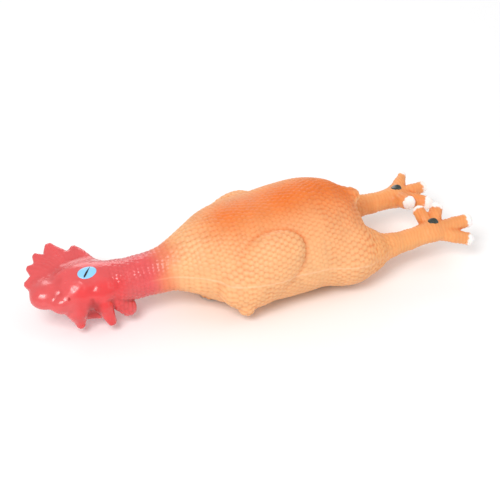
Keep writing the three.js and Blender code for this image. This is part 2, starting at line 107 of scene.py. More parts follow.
def blend_min(a: Array, b: Array, fillet: float) -> Array:
    """The smaller of two distances, with a fillet where they are close.

    Args:
        a: first distance.
        b: second distance.
        fillet: the reach of the fillet.

    Returns:
        The distance to the joined solid.
    """
    close = np.maximum(fillet - np.abs(a - b), 0.0) / fillet
    return np.minimum(a, b) - close * close * fillet * 0.25


def linear(colour: Sequence[int]) -> Colour:
    """A display colour of 0 to 255 as scene-linear light."""
    c = np.asarray(colour, dtype=float) / 255.0
    return tuple(np.where(c <= 0.04045, c / 12.92, ((c + 0.055) / 1.055) ** 2.4))


def value_noise(points: Array, pitch: float, seed: int) -> Array:
    """Smooth noise from -1 to 1 through random values on a cubic lattice.

    Args:
        points: positions, one per row.
        pitch: the lattice's spacing.
        seed: picks the random values.

    Returns:
        The noise at each position.
    """
    scaled = points / pitch
    cell = np.floor(scaled).astype(np.int64)
    t = scaled - cell
    t = t * t * (3.0 - 2.0 * t)
    total = np.zeros(len(points))
    for corner in range(8):
        step = np.array([corner & 1, (corner >> 1) & 1, (corner >> 2) & 1])
        key = cell + step
        mixed = key[:, 0] * 73856093 ^ key[:, 1] * 19349663 ^ key[:, 2] * 83492791 ^ seed * 2654435761
        mixed = (mixed ^ (mixed >> 13)) * 1274126177 & 0xFFFFFFFF
        mixed = (mixed ^ (mixed >> 16)) & 0xFFFF
        weight = np.prod(np.where(step, t, 1.0 - t), axis=1)
        total += weight * (mixed / 32767.5 - 1.0)
    return total


class Profile:
    """Smooth curves through rows of numbers, read by their first column."""

    def __init__(self, rows: Sequence[Sequence[float]]) -> None:
        """Args: rows: the stations, the first column rising."""
        table = np.asarray(rows, dtype=float)
        knots = table[:, 0]
        slopes = np.gradient(table[:, 1:], knots, axis=0)
        self.at = np.arange(knots[0], knots[-1] + 0.25, 0.5)
        i = np.clip(np.searchsorted(knots, self.at, side="right") - 1, 0, len(knots) - 2)
        span = (knots[i + 1] - knots[i])[:, None]
        t = (self.at - knots[i])[:, None] / span
        start, end = table[i, 1:], table[i + 1, 1:]
        self.values = (
            (2 * t**3 - 3 * t**2 + 1) * start
            + (t**3 - 2 * t**2 + t) * span * slopes[i]
            + (3 * t**2 - 2 * t**3) * end
            + (t**3 - t**2) * span * slopes[i + 1]
        )

    def __call__(self, x: Array, column: int) -> Array:
        """The value of a column, counted from 0 after the first one, at each x."""
        return np.interp(x, self.at, self.values[:, column])


# ---------------------------------------------------------------------------- rounded solids
@dataclass(frozen=True)
class Solid:
    """A solid that knows how far a point is from it."""

    fillet: float

    def distance(self, p: Array) -> Array:
        """Signed distance of each point, negative inside."""
        raise NotImplementedError

    def extent(self) -> tuple[Array, Array]:
        """Lowest and highest corner of a box that holds the solid."""
        raise NotImplementedError


@dataclass(frozen=True)
class Ellipsoid(Solid):
    """An ellipsoid; the rows of turn are its own axes."""

    centre: tuple[float, float, float]
    size: tuple[float, float, float]
    turn: Array = field(default_factory=lambda: np.eye(3))

    def distance(self, p: Array) -> Array:
        """Distance by the length of the scaled point over the length of its gradient."""
        local = (p - np.asarray(self.centre)) @ self.turn.T
        size = np.asarray(self.size)
        near = np.sqrt(((local / size) ** 2).sum(-1))
        slope = np.sqrt(((local / size**2) ** 2).sum(-1)) + 1e-9
        return near * (near - 1.0) / slope

    def extent(self) -> tuple[Array, Array]:
        """The box of the turned ellipsoid."""
        half = np.sqrt(((self.turn * np.asarray(self.size)[:, None]) ** 2).sum(0))
        centre = np.asarray(self.centre)
        return centre - half, centre + half


@dataclass(frozen=True)
class Limb(Solid):
    """A bar with round ends through points, each with its own radius."""

    points: tuple[tuple[float, float, float], ...]
    radii: tuple[float, ...]

    def distance(self, p: Array) -> Array:
        """Distance to the nearest of the tapered bars between neighbouring points."""
        best = None
        for a, b, r0, r1 in zip(self.points, self.points[1:], self.radii, self.radii[1:]):
            start = np.asarray(a)
            along = np.asarray(b) - start
            t = np.clip(((p - start) @ along) / (along @ along), 0.0, 1.0)
            gap = p - start - t[..., None] * along
            d = np.sqrt((gap**2).sum(-1)) - (r0 + (r1 - r0) * t)
            best = d if best is None else blend_min(best, d, 2.0)
        return best

    def extent(self) -> tuple[Array, Array]:
        """The box of all the bars."""
        points, radii = np.asarray(self.points), np.asarray(self.radii)[:, None]
        return (points - radii).min(0), (points + radii).max(0)


@dataclass(frozen=True)
class Trunk(Solid):
    """A body along X with sections that are wider, taller above and shallower below a level axis."""

    sections: Profile
    axis_z: float
    ends: tuple[float, float]
    blunt: float

    def distance(self, p: Array) -> Array:
        """Distance from the section's ellipse, its size shrinking to nothing over the rear end."""
        x = np.clip(p[..., 0], *self.ends)
        cap = np.clip((p[..., 0] - (self.ends[1] - self.blunt)) / self.blunt, 0.0, 1.0)
        shrink = np.sqrt(np.maximum(1.0 - cap**2.6, 4e-4))
        wide = self.sections(x, 0) * shrink
        rise = p[..., 2] - self.axis_z
        tall = np.where(rise > 0, self.sections(x, 1), self.sections(x, 2)) * shrink
        near = np.sqrt((p[..., 1] / wide) ** 2 + (rise / tall) ** 2) + 1e-9
        slope = np.sqrt((p[..., 1] / wide**2) ** 2 + (rise / tall**2) ** 2) + 1e-9
        side = near * (near - 1.0) / slope
        beyond = np.maximum(self.ends[0] - p[..., 0], p[..., 0] - self.ends[1])
        return np.where(beyond > 0, np.maximum(side, beyond), side)

    def extent(self) -> tuple[Array, Array]:
        """The box from end to end."""
        wide, up, down = self.sections.values.max(0)[:3]
        low = np.array([self.ends[0], -wide, self.axis_z - down])
        return low, np.array([self.ends[1], wide, self.axis_z + up])


@dataclass(frozen=True)
class Plate(Solid):
    """A plate with rounded edges and a notched outline, like a cockscomb."""

    origin: Array
    turn: Array
    outline: tuple[tuple[float, float], ...]
    half_thick: float

    def flat_distance(self, flat: Array) -> Array:
        """Signed distance to the outline in the plate's plane, negative inside."""
        corners = np.asarray(self.outline)
        best = np.full(flat.shape[:-1], 1e9)
        inside = np.zeros(flat.shape[:-1], dtype=bool)
        for a, b in zip(corners, np.roll(corners, -1, axis=0)):
            along = b - a
            gap = flat - a
            t = np.clip((gap @ along) / (along @ along), 0.0, 1.0)
            best = np.minimum(best, ((gap - t[..., None] * along) ** 2).sum(-1))
            crosses = (a[1] > flat[..., 1]) != (b[1] > flat[..., 1])
            rise = along[1] if along[1] != 0 else 1e-9
            inside ^= crosses & (flat[..., 0] < along[0] * (flat[..., 1] - a[1]) / rise + a[0])
        return np.sqrt(best) * np.where(inside, -1.0, 1.0)

    def distance(self, p: Array) -> Array:
        """Distance to the plate, worked out in its plane and then across its thickness."""
        local = (p - self.origin) @ self.turn.T
        flat = local[..., :2]
        reach = np.sqrt((flat**2).sum(-1))
        thin = self.half_thick * (1.35 - 0.65 * smoothstep(18.0, 56.0, reach))
        edge = np.maximum(self.flat_distance(flat) + thin, 0.0)
        return np.sqrt(edge**2 + local[..., 2] ** 2) - thin

    def extent(self) -> tuple[Array, Array]:
        """A cube round the whole plate."""
        reach = max(math.hypot(f, u) for f, u in self.outline) + 2.0
        return self.origin - reach, self.origin + reach


@dataclass
class Sculpture:
    """Solids joined in order, with cuts, over a floor."""

    adds: list[Solid]
    cuts: list[Solid]
    floor_z: float

    def distance(self, p: Array) -> Array:
        """Signed distance of each point to the whole sculpture."""
        total = np.full(p.shape[:-1], 1e3)
        for solid in self.adds:
            low, high = solid.extent()
            margin = solid.fillet + 8.0
            near = np.all((p > low - margin) & (p < high + margin), axis=-1)
            if near.any():
                total[near] = blend_min(total[near], solid.distance(p[near]), solid.fillet)
        for solid in self.cuts:
            total = -blend_min(-total, solid.distance(p), solid.fillet)
        return -blend_min(-total, p[..., 2] - self.floor_z, 1.2)

    def gradient(self, p: Array, step: float = 0.25) -> Array:
        """Gradient of the distance, by central differences."""
        grad = np.empty_like(p)
        for axis in range(3):
            shift = np.zeros(3)
            shift[axis] = step
            grad[:, axis] = (self.distance(p + shift) - self.distance(p - shift)) / (2 * step)
        return grad

    def normals(self, p: Array) -> Array:
        """Unit gradient of the distance."""
        grad = self.gradient(p)
        return grad / (np.linalg.norm(grad, axis=1, keepdims=True) + 1e-9)

    def settle(self, p: Array, rounds: int = 2, longest: float = 0.8) -> Array:
        """Points moved onto the surface along the gradient, no further than longest in a round."""
        for _ in range(rounds):
            grad = self.gradient(p)
            length = (grad**2).sum(1, keepdims=True) + 1e-6
            move = self.distance(p)[:, None] * grad / length
            p = p - np.clip(move, -longest, longest)
        return p

    def polygonise(self, low: Array, high: Array, voxel: float) -> tuple[Array, Array]:
        """Quads of the surface between two corners.

        Args:
            low: lowest corner.
            high: highest corner.
            voxel: grid spacing.

        Returns:
            Vertex positions and quads of vertex numbers, facing outwards.
        """
        counts = np.ceil((high - low) / voxel).astype(int) + 1
        volume = np.full(counts, 3.0 * voxel, dtype=np.float32)
        ys = low[1] + voxel * np.arange(counts[1])
        zs = low[2] + voxel * np.arange(counts[2])
        slab = 24
        for first in range(0, counts[0], slab):
            xs = low[0] + voxel * np.arange(first, min(first + slab, counts[0]))
            grid = np.stack(np.meshgrid(xs, ys, zs, indexing="ij"), axis=-1)
            volume[first : first + len(xs)] = np.clip(self.distance(grid), -3 * voxel, 3 * voxel)
        grid = openvdb.FloatGrid(3.0 * voxel)
        grid.copyFromArray(volume)
        points, quads = grid.convertToQuads(isovalue=0.0)
        points = np.asarray(points, dtype=float) * voxel + low
        return points, np.asarray(quads, dtype=np.int64)


# ---------------------------------------------------------------------------- meshes
def new_object(name: str, mesh: bpy.types.Mesh) -> bpy.types.Object:
    """A scene object for a mesh, at the origin."""
    obj = bpy.data.objects.new(name, mesh)
    bpy.context.scene.collection.objects.link(obj)
    return obj


def build_mesh(name: str, points: Array, faces: Array) -> bpy.types.Mesh:
    """A smooth-shaded mesh from whole arrays.

    Args:
        name: the mesh's name.
        points: positions in millimetres, one per row.
        faces: vertex numbers, one face per row.

    Returns:
        The mesh, in metres.
    """
    mesh = bpy.data.meshes.new(name)
    sides = faces.shape[1]
    mesh.vertices.add(len(points))
    mesh.vertices.foreach_set("co", (points * MM).astype(np.float32).ravel())
    mesh.loops.add(faces.size)
    mesh.loops.foreach_set("vertex_index", faces.astype(np.int32).ravel())
    mesh.polygons.add(len(faces))
    mesh.polygons.foreach_set("loop_start", np.arange(0, faces.size, sides, dtype=np.int32))
    mesh.update(calc_edges=True)
    mesh.validate()
    mesh.polygons.foreach_set("use_smooth", np.ones(len(mesh.polygons), dtype=bool))
    return mesh


def vertex_normals(points: Array, quads: Array) -> Array:
    """Area-weighted unit normals at the vertices of quads."""
    a, b, c, d = (points[quads[:, i]] for i in range(4))
    face = np.cross(c - a, d - b)
    total = np.zeros_like(points)
    for i in range(4):
        for axis in range(3):
            total[:, axis] += np.bincount(quads[:, i], face[:, axis], len(points))
    return total / (np.linalg.norm(total, axis=1, keepdims=True) + 1e-12)


def neighbour_mean(values: Array, quads: Array) -> Array:
    """The mean of each vertex's neighbours, for a column or several."""
    a = quads.ravel()
    b = np.roll(quads, 1, axis=1).ravel()
    table = values.reshape(len(values), -1)
    count = np.bincount(a, minlength=len(table)) + np.bincount(b, minlength=len(table))
    out = np.empty_like(table)
    for column in range(table.shape[1]):
        one = np.bincount(a, table[b, column], len(table)) + np.bincount(b, table[a, column], len(table))
        out[:, column] = one / np.maximum(count, 1)
    return out.reshape(values.shape)


# ---------------------------------------------------------------------------- finishes
@dataclass(frozen=True)
class Finish:
    """A procedural surface finish."""

    name: str
    colour: Colour
    roughness: float = 0.4
    metallic: float = 0.0
    subsurface: float = 0.0
    coat: float = 0.0
    grain_mm: float = 1.2
    grain_depth: float = 0.04
    mottle: float = 0.06
    paint: bool = False

    def build(self) -> bpy.types.Material:
        """The finish as a material.

        Returns:
            A material with fine grain, mottled colour and uneven gloss, read from object coordinates.
        """
        material = bpy.data.materials.new(self.name)
        material.use_nodes = True
        tree = material.node_tree
        shader = tree.nodes["Principled BSDF"]
        shader.inputs["Metallic"].default_value = self.metallic
        shader.inputs["Subsurface Weight"].default_value = self.subsurface
        shader.inputs["Subsurface Radius"].default_value = (1.0, 0.45, 0.25)
        shader.inputs["Subsurface Scale"].default_value = 0.002
        shader.inputs["Coat Weight"].default_value = self.coat
        shader.inputs["Coat Roughness"].default_value = 0.24
        place = tree.nodes.new("ShaderNodeTexCoord")
        mottling = self._noise(tree, place, 1000.0 / 14.0, 4.0)
        grain = self._noise(tree, place, 1000.0 / self.grain_mm, 3.0)
        tint = tree.nodes.new("ShaderNodeMix")
        tint.data_type = "RGBA"
        tint.blend_type = "MULTIPLY"
        tint.inputs["Factor"].default_value = 1.0
        shade = self._ramp(tree, mottling, (0.3, 0.7), (1.0 - self.mottle, 1.0 + self.mottle))
        if self.paint:
            base = tree.nodes.new("ShaderNodeAttribute")
            base.attribute_name = "paint"
            tree.links.new(base.outputs["Color"], tint.inputs["A"])
        else:
            tint.inputs["A"].default_value = (*self.colour, 1.0)
        tree.links.new(shade.outputs["Result"], tint.inputs["B"])
        tree.links.new(tint.outputs["Result"], shader.inputs["Base Color"])
        gloss = self._ramp(tree, mottling, (0.25, 0.75), (self.roughness - 0.06, self.roughness + 0.08))
        if self.paint:
            matt = tree.nodes.new("ShaderNodeAttribute")
            matt.attribute_name = "matt"
            total = tree.nodes.new("ShaderNodeMath")
            total.operation = "ADD"
            total.use_clamp = True
            tree.links.new(gloss.outputs["Result"], total.inputs[0])
            tree.links.new(matt.outputs["Fac"], total.inputs[1])
            tree.links.new(total.outputs["Value"], shader.inputs["Roughness"])
            lacquer = self._ramp(tree, matt, (0.0, -0.14), (0.04, self.coat))
            tree.links.new(lacquer.outputs["Result"], shader.inputs["Coat Weight"])
        else:
            tree.links.new(gloss.outputs["Result"], shader.inputs["Roughness"])
        bump = tree.nodes.new("ShaderNodeBump")
        bump.inputs["Strength"].default_value = 1.0
        bump.inputs["Distance"].default_value = self.grain_depth * MM
        tree.links.new(grain.outputs["Fac"], bump.inputs["Height"])
        tree.links.new(bump.outputs["Normal"], shader.inputs["Normal"])
        return material

    @staticmethod
    def _ramp(
        tree: bpy.types.NodeTree,
        source: bpy.types.Node,
        taken: tuple[float, float],
        given: tuple[float, float],
    ) -> bpy.types.Node:
        """A node that carries a source's value from one range to another."""
        node = tree.nodes.new("ShaderNodeMapRange")
        for name, value in zip(("From Min", "From Max", "To Min", "To Max"), (*taken, *given)):
            node.inputs[name].default_value = value
        tree.links.new(source.outputs["Fac"], node.inputs["Value"])
        return node

    @staticmethod
    def _noise(
        tree: bpy.types.NodeTree, place: bpy.types.Node, scale: float, detail: float
    ) -> bpy.types.Node:
        """A noise node in object coordinates."""
        node = tree.nodes.new("ShaderNodeTexNoise")
        node.inputs["Scale"].default_value = scale
        node.inputs["Detail"].default_value = detail
        tree.links.new(place.outputs["Object"], node.inputs["Vector"])
        return node


class Paint(Enum):
    """Colours of the latex, of the paint on it and of painted shade, as display values."""

    PEACH = (241, 182, 126)
    BACK = (229, 112, 14)
    NECK = (232, 130, 88)
    RED = (221, 82, 83)
    # painted shade for the red creases, hollows, wattle crevice and mouth corner
    DEEP_RED = (176, 20, 22)
    LEG = (240, 170, 105)
    # painted shade for the orange creases and hollows; also a deeper orange on the toes
    DEEP_ORANGE = (226, 112, 40)
    SEAM = (255, 214, 176)
    # painted shade on the underside of the head
    SCARLET = (230, 38, 42)
    CLAW = (250, 244, 240)

    @property
    def light(self) -> Array:
        """The colour as scene-linear light."""
        return np.asarray(linear(self.value))


LATEX = Finish("painted_latex", (0.9, 0.5, 0.3), 0.36, subsurface=0.08, coat=0.36, grain_mm=1.1, paint=True)
EYE_BLUE = Finish("eye_paint", linear((140, 206, 246)), 0.3, coat=0.4, mottle=0.04)
PUPIL_BLACK = Finish("pupil_paint", linear((16, 18, 24)), 0.28, coat=0.4)
PAD_GREEN = Finish("pad_paint", linear((34, 44, 36)), 0.25, coat=0.5, mottle=0.15)
FIBRE = Finish("fibre_filling", linear((244, 242, 236)), 0.95, grain_mm=0.6, grain_depth=0.3)
POLYTHENE = Finish("squeaker_plastic", linear((238, 234, 222)), 0.42, subsurface=0.1)
REED_METAL = Finish("reed_metal", linear((205, 168, 82)), 0.3, metallic=1.0)


# ---------------------------------------------------------------------------- the bird's shape
@dataclass(frozen=True)
class HeadFrame:
    """The head's own axes: forward to the beak, up to the crown, out of the left cheek."""

    origin: tuple[float, float, float] = (-161.0, 2.0, 41.0)
    roll_deg: float = 72.0

    @property
    def turn(self) -> Array:
        """The axes as rows."""
        roll = math.radians(self.roll_deg)
        forward = np.array([-1.0, 0.0, 0.0])
        crown = np.array([0.0, math.sin(roll), math.cos(roll)])
        return np.array([forward, crown, -np.cross(forward, crown)])

    def place(self, forward: float, up: float, cheek: float = 0.0) -> tuple[float, float, float]:
        """A point given in the head's frame, in the row frame."""
        return tuple(np.asarray(self.origin) + np.array([forward, up, cheek]) @ self.turn)

    def local(self, p: Array) -> Array:
        """Points of the row frame in the head's frame."""
        return (p - np.asarray(self.origin)) @ self.turn.T


HEAD = HeadFrame()


@dataclass(frozen=True)
class Side:
    """One side of the bird and how its leg was moulded."""

    name: str
    sign: float
    shorter: float
    raised: float
    palm: tuple[float, float, float]
    toes: tuple[tuple[float, float, float, float, float], ...]
    claws: tuple[float, float, float, float]
    wing_centre: tuple[float, float, float]
    wing_size: tuple[float, float, float]
    wing_rise_deg: float

    @property
    def hip(self) -> Array:
        """Where the hip flexes."""
        return np.array([124.0, 36.0 * self.sign, 33.5])

    @property
    def ankle(self) -> Array:
        """Where the ankle flexes."""
        return np.array([158.0 - self.shorter, 33.5 * self.sign, 33.0])

    def toe_way(self, toe: int) -> Array:
        """Unit vector along a toe."""
        angle, tilt = math.radians(self.toes[toe][0]), math.radians(self.toes[toe][3])
        return np.array(
            [math.cos(angle) * math.cos(tilt), -self.sign * math.sin(angle) * math.cos(tilt), math.sin(tilt)]
        )

    def toe_tip(self, toe: int) -> Array:
        """The end of a toe."""
        return np.asarray(self.palm) + self.toe_way(toe) * self.toes[toe][1]


LEFT = Side(
    "left",
    sign=-1.0,
    shorter=0.0,
    raised=0.0,
    palm=(184.0, -33.0, 36.5),
    toes=(
        (103, 29.0, 7.0, 30, 0.85),
        (53, 31.0, 7.2, 30, 0.85),
        (-4, 43.0, 7.8, 7, 0.85),
        (-26, 42.5, 7.4, -12, 0.8),
    ),
    claws=(4.6, 7.5, 7.5, 6.0),
    wing_centre=(0.0, -45.0, 51.0),
    wing_size=(45.0, 28.0, 20.5),
    wing_rise_deg=40.0,
)
RIGHT = Side(
    "right",
    sign=1.0,
    shorter=8.0,
    raised=3.0,
    palm=(177.0, 33.0, 37.5),
    toes=(
        (82, 30.0, 8.0, 16, 0.85),
        (42, 39.0, 8.0, 1, 0.85),
        (-4, 36.0, 7.4, 6, 0.8),
        (-50, 34.0, 9.4, 16, 0.4),
    ),
    claws=(6.2, 7.5, 6.0, 5.0),
    wing_centre=(-5.5, 45.0, 44.7),
    wing_size=(39.4, 26.5, 19.5),
    wing_rise_deg=39.0,
)
SIDES = (LEFT, RIGHT)


@dataclass
class Skin:
    """The whole latex skin before it is divided."""

    voxel: float = 1.0
    plane_z: float = 38.0
    torso_rows: tuple[tuple[float, ...], ...] = (
        (-120, 14.0, 15.0, 11.0),
        (-108, 16.5, 19.0, 11.0),
        (-92, 19.5, 23.0, 12.5),
        (-76, 25.0, 31.0, 15.5),
        (-58, 35.5, 40.0, 21.5),
        (-38, 50.0, 47.0, 32.5),
        (-14, 59.0, 51.0, 41.0),
        (12, 62.0, 53.0, 41.0),
        (40, 61.5, 58.0, 41.0),
        (66, 58.5, 60.0, 40.0),
        (86, 54.0, 55.5, 39.0),
        (102, 50.0, 48.0, 37.0),
        (119, 44.0, 40.0, 34.0),
    )
    neck_points: tuple[tuple[float, float, float], ...] = (
        (-92, 0, 40),
        (-112, 0, 40),
        (-130, 0, 39.5),
        (-146, 2, 39.5),
        (-163, 2, 41),
    )
    neck_radii: tuple[float, ...] = (18.8, 19.2, 20.8, 20.6, 17.0)
    comb_tips: tuple[tuple[float, float, float], ...] = (
        (-3.5, 48.5, 3.0),
        (19.5, 57.5, 3.4),
        (35.0, 48.8, 2.6),
        (45.0, 36.0, 2.6),
        (52.0, 18.5, 3.0),
    )
    comb_notches: tuple[tuple[float, float], ...] = ((3.5, 44.0), (26.0, 46.5), (37.5, 38.5), (44.5, 25.5))
    comb_back: tuple[tuple[float, float], ...] = ((-10.0, 4.0), (-24.0, 17.0), (-19.0, 27.0), (-12.0, 40.5))
    comb_front: tuple[tuple[float, float], ...] = ((47.0, 8.0), (30.0, 0.0))
    crevice: tuple[tuple[float, float, float], ...] = ((-160, -23, 42), (-159, -26, 30), (-157, -26, 14))
    squeaker_x: float = -34.0
    collar: tuple[float, float, float] = (15.6, 2.8, 13.0)

    def sculpture(self) -> Sculpture:
        """All the solids of the bird.

        Returns:
            The torso, neck, head, wings, legs and feet joined, with the squeaker's recess cut.
        """
        adds: list[Solid] = [Trunk(6.0, Profile(self.torso_rows), self.plane_z, (-118.0, 119.0), 30.0)]
        adds.append(Limb(8.0, self.neck_points, self.neck_radii))
        adds += self._head()
        for side in SIDES:
            adds += self._wing(side) + self._leg(side)
        adds.append(Ellipsoid(9.0, (104.0, 0.0, 77.0), (14.0, 11.0, 8.0)))
        adds.append(Collar(3.0, self.squeaker_x, *self.collar))
        crevice = Limb(2.5, self.crevice, (2.2, 3.6, 4.0))
        return Sculpture(adds, [Recess(0.6, self.squeaker_x, 13.4, 5.0), crevice], 0.0)

    def _head(self) -> list[Solid]:
        """Skull, beak, comb, wattles and ear lobes."""
        turn = HEAD.turn
        place = HEAD.place
        solids: list[Solid] = [
            Ellipsoid(10.0, HEAD.origin, (29.0, 23.0, 20.0), turn),
            Ellipsoid(6.0, place(4.0, 11.0, 10.0), (19.0, 6.0, 6.0), turn),
            Ellipsoid(6.0, place(4.0, 11.0, -10.0), (19.0, 6.0, 6.0), turn),
            Ellipsoid(7.0, place(34.0, -0.5, 0.0), (17.5, 13.0, 11.5), turn),
            Ellipsoid(5.0, place(22.0, -14.0, 0.0), (13.0, 8.0, 10.0), turn),
            Plate(9.0, np.asarray(HEAD.origin), turn, self.comb_outline(), 4.2),
            Ellipsoid(5.0, place(-14.0, -14.0, 8.0), (12.0, 10.0, 8.5), turn),
            Ellipsoid(5.0, place(-14.0, -14.0, -8.0), (12.0, 10.0, 8.5), turn),
            Limb(4.0, ((-172, -6, 42), (-173, -12, 27), (-171, -15.0, 13)), (13.0, 10.0, 4.6)),
            Limb(2.0, ((-152, -13, 45), (-149, -19, 31), (-143.5, -22.5, 14)), (8.0, 8.0, 4.6)),
            Limb(3.0, ((-166, -6, 21), (-150, -8, 19)), (8.5, 8.5)),
            Limb(1.6, ((-139, -12, 34), (-124.5, -14, 18.5)), (9.0, 8.0)),
        ]
        return solids

    def comb_outline(self) -> tuple[tuple[float, float], ...]:
        """The comb's outline in the head's profile, with each tip blunted.

        Returns:
            The corners in order round the comb.
        """
        corners = list(self.comb_back)
        notches = [*self.comb_notches, self.comb_front[0]]
        for (f, u, blunt), notch in zip(self.comb_tips, notches):
            reach = math.hypot(f, u)
            across = (u / reach * blunt, -f / reach * blunt)
            low = 1.0 - 1.2 / reach
            corners.append((f * low - across[0], u * low - across[1]))
            corners.append((f - across[0] * 0.45, u - across[1] * 0.45))
            corners.append((f + across[0] * 0.45, u + across[1] * 0.45))
            corners.append((f * low + across[0], u * low + across[1]))
            corners.append(notch)
        corners += self.comb_front[1:]
        return tuple(corners)

    def _wing(self, side: Side) -> list[Solid]:
        """A folded wing against the torso's side."""
        s = side.sign
        rise = math.radians(side.wing_rise_deg)
        along = np.array([math.cos(rise), 0.10 * s, math.sin(rise)])
        out = np.array([-0.10, 0.93 * s, 0.30])
        out -= along * (out @ along) / (along @ along)
        along, out = along / np.linalg.norm(along), out / np.linalg.norm(out)
        axes = np.array([along, np.cross(out, along), out])
        return [
            Ellipsoid(2.4, side.wing_centre, side.wing_size, axes),
            Ellipsoid(7.0, (-14.0, 50.0 * s, 36.0), (30.0, 15.0, 22.0)),
            Ellipsoid(2.2, (-21.0, 52.0 * s, 20.5), (9.0, 11.0, 12.5)),
        ]

    def _leg(self, side: Side) -> list[Solid]:
        """Thigh, shank, foot and toes."""
        s, d = side.sign, side.shorter
        up = side.raised
        knee = (124, 36.0 * s, 33.5 + up)
        bones = ((100, 37.0 * s, 36.0), (112, 37.0 * s, 34.5), knee, (138 - d / 2, 35.0 * s, 33.0 + up))
        shank = (bones[-1], tuple(side.ankle + [0.0, 0.0, up]), side.palm)
        solids: list[Solid] = [
            Ellipsoid(8.0, (88.0, 36.0 * s, 37.0), (34.0, 29.0, 31.0)),
            Limb(8.0, bones, (25.0, 20.5, 14.5, 11.2)),
            Limb(3.0, shank, (11.2, 9.9, 9.8)),
            Ellipsoid(4.0, side.palm, (15.0, 13.5, 9.0)),
        ]
        for toe, (_, reach, radius, _, blunt) in enumerate(side.toes):
            way = side.toe_way(toe)
            palm = np.asarray(side.palm)
            reaches = (0.25 * reach, 0.55 * reach, reach - radius * blunt)
            at = tuple(tuple(palm + way * r) for r in reaches)
            solids.append(Limb(2.4, at, (radius * 0.98, radius * (0.4 + 0.6 * blunt), radius * blunt)))
        return solids


@dataclass(frozen=True)
class Recess(Solid):
    """A round pocket in the belly; as a cut, its distance is positive outside the pocket."""

    x: float
    radius: float
    depth: float

    def distance(self, p: Array) -> Array:
        """Distance to the pocket's walls and roof."""
        side = np.hypot(p[..., 0] - self.x, p[..., 1]) - self.radius
        return np.maximum(side, p[..., 2] - self.depth)

    def extent(self) -> tuple[Array, Array]:
        """The pocket's box."""
        low = np.array([self.x - self.radius, -self.radius, -self.depth])
        return low, np.array([self.x + self.radius, self.radius, self.depth])


@dataclass(frozen=True)
class Collar(Solid):
    """A round upright boss of latex that holds the squeaker."""

    x: float
    radius: float
    low: float
    high: float

    def distance(self, p: Array) -> Array:
        """Distance to an upright cylinder's side or ends, whichever is nearer."""
        side = np.hypot(p[..., 0] - self.x, p[..., 1]) - self.radius
        level = np.maximum(self.low - p[..., 2], p[..., 2] - self.high)
        outside = np.hypot(np.maximum(side, 0.0), np.maximum(level, 0.0))
        return outside + np.minimum(np.maximum(side, level), 0.0)

    def extent(self) -> tuple[Array, Array]:
        """The cylinder's box."""
        low = np.array([self.x - self.radius, -self.radius, self.low])
        return low, np.array([self.x + self.radius, self.radius, self.high])


